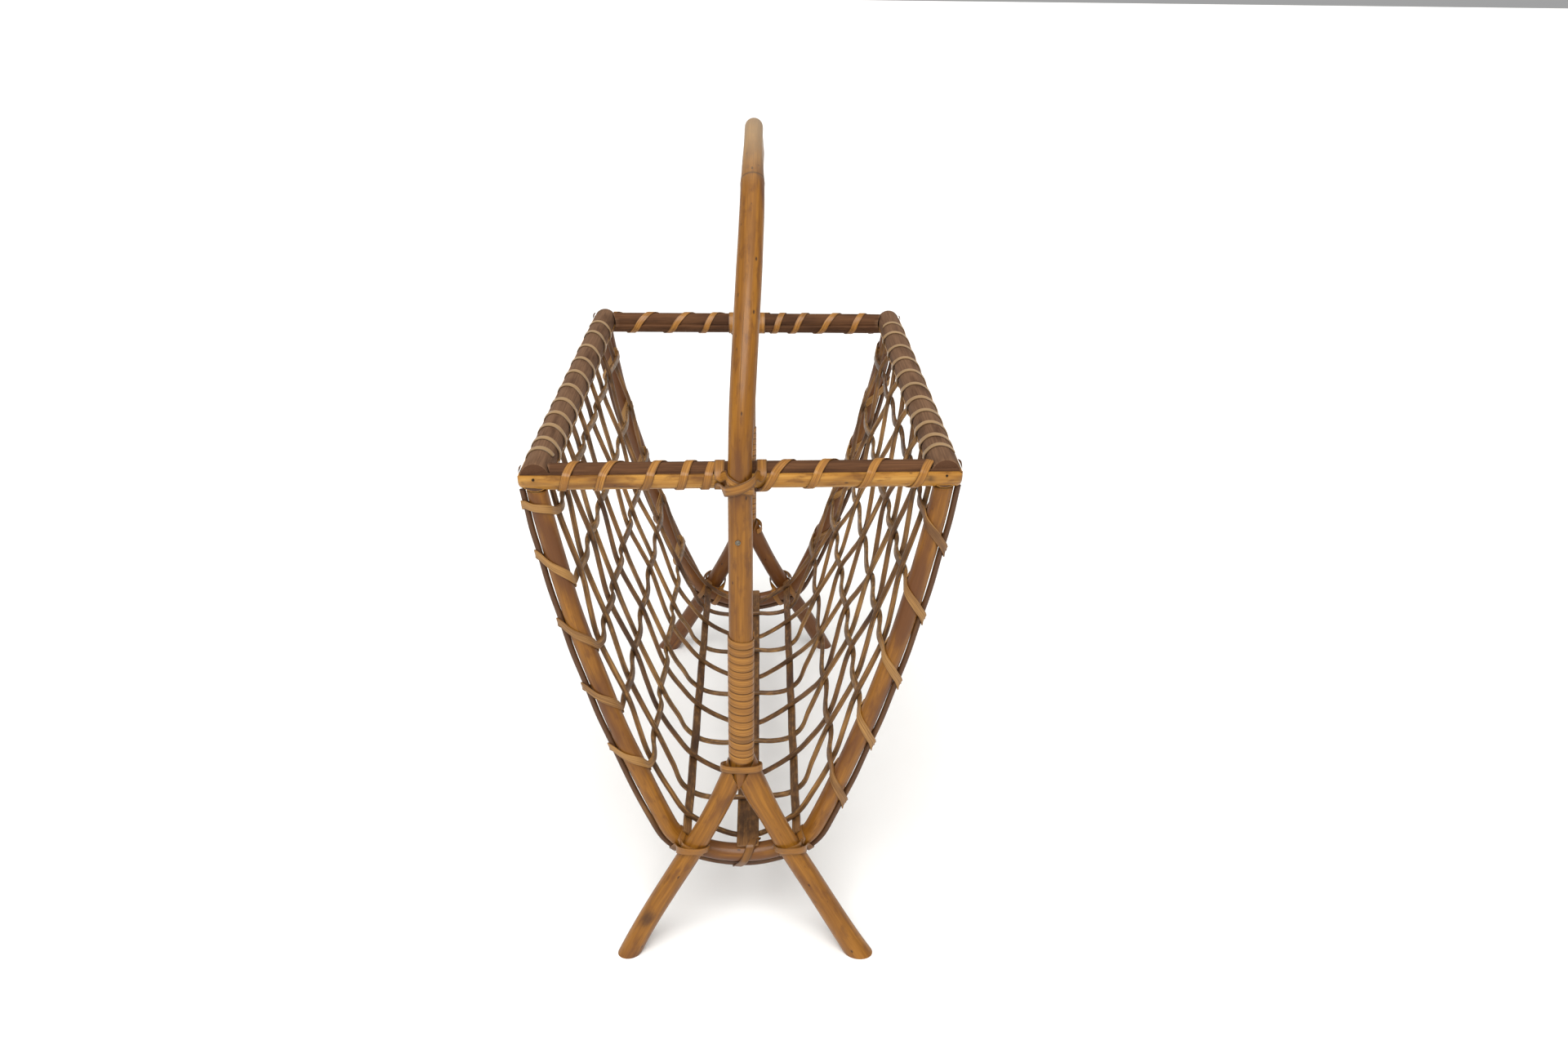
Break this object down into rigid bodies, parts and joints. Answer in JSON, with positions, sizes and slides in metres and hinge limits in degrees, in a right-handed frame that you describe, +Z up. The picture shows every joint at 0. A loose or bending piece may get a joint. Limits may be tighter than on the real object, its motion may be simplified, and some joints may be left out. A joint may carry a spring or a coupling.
{
  "type": "magazine basket",
  "caption": "Open rattan magazine basket: rectangular pole rim, U-shaped end hoops on crossed legs, woven cane lattice sides and floor, and a tall arched carrying handle.",
  "frame": {"origin": "on the floor, under the middle of the basket", "axes": "+X across the basket towards its right side, +Y along the basket towards its far end, +Z up"},
  "size_m": [0.2654, 0.4336, 0.5179],
  "materials": {
    "cane_skin": "natural rattan skin, satin to glossy, honey colour",
    "half_peeled_cane": "rattan with its skin left on the outer side and peeled to dull brown on top and inside",
    "woven_cane": "split cane and core, aged brown, matt to satin",
    "cane_strip": "flat cane strip, light tan, satin",
    "nail_steel": "small dull steel nail heads"
  },
  "bodies": {
    "root": {"handle": "cane_skin", "near_hoop": "cane_skin", "far_hoop": "cane_skin", "near_left_leg": "cane_skin", "near_right_leg": "cane_skin", "far_left_leg": "cane_skin", "far_right_leg": "cane_skin", "near_rail": "half_peeled_cane", "far_rail": "half_peeled_cane", "left_rail": "half_peeled_cane", "right_rail": "half_peeled_cane", "cross_strand_01": "woven_cane", "cross_strand_02": "woven_cane", "cross_strand_03": "woven_cane", "cross_strand_04": "woven_cane", "cross_strand_05": "woven_cane", "cross_strand_06": "woven_cane", "cross_strand_07": "woven_cane", "cross_strand_08": "woven_cane", "cross_strand_09": "woven_cane", "cross_strand_10": "woven_cane", "cross_strand_11": "woven_cane", "left_weaver_1": "woven_cane", "left_weaver_2": "woven_cane", "left_weaver_3": "woven_cane", "left_weaver_4": "woven_cane", "left_weaver_5": "woven_cane", "right_weaver_1": "woven_cane", "right_weaver_2": "woven_cane", "right_weaver_3": "woven_cane", "right_weaver_4": "woven_cane", "right_weaver_5": "woven_cane", "centre_floor_slat": "woven_cane", "left_floor_slat": "woven_cane", "right_floor_slat": "woven_cane", "near_edge_strand": "woven_cane", "far_edge_strand": "woven_cane", "near_apex_band": "cane_strip", "near_handle_winding": "cane_strip", "near_handle_lashing": "cane_strip", "near_centre_binding": "cane_strip", "near_left_rim_wrap": "cane_strip", "near_right_rim_wrap": "cane_strip", "near_left_leg_lashing": "cane_strip", "near_right_leg_lashing": "cane_strip", "far_apex_band": "cane_strip", "far_handle_winding": "cane_strip", "far_handle_lashing": "cane_strip", "far_centre_binding": "cane_strip", "far_left_rim_wrap": "cane_strip", "far_right_rim_wrap": "cane_strip", "far_left_leg_lashing": "cane_strip", "far_right_leg_lashing": "cane_strip", "left_rim_wrap": "cane_strip", "right_rim_wrap": "cane_strip", "near_left_corner_nail": "nail_steel", "near_right_corner_nail": "nail_steel", "far_left_corner_nail": "nail_steel", "far_right_corner_nail": "nail_steel", "handle_nail": "nail_steel"}
  },
  "joints": []
}
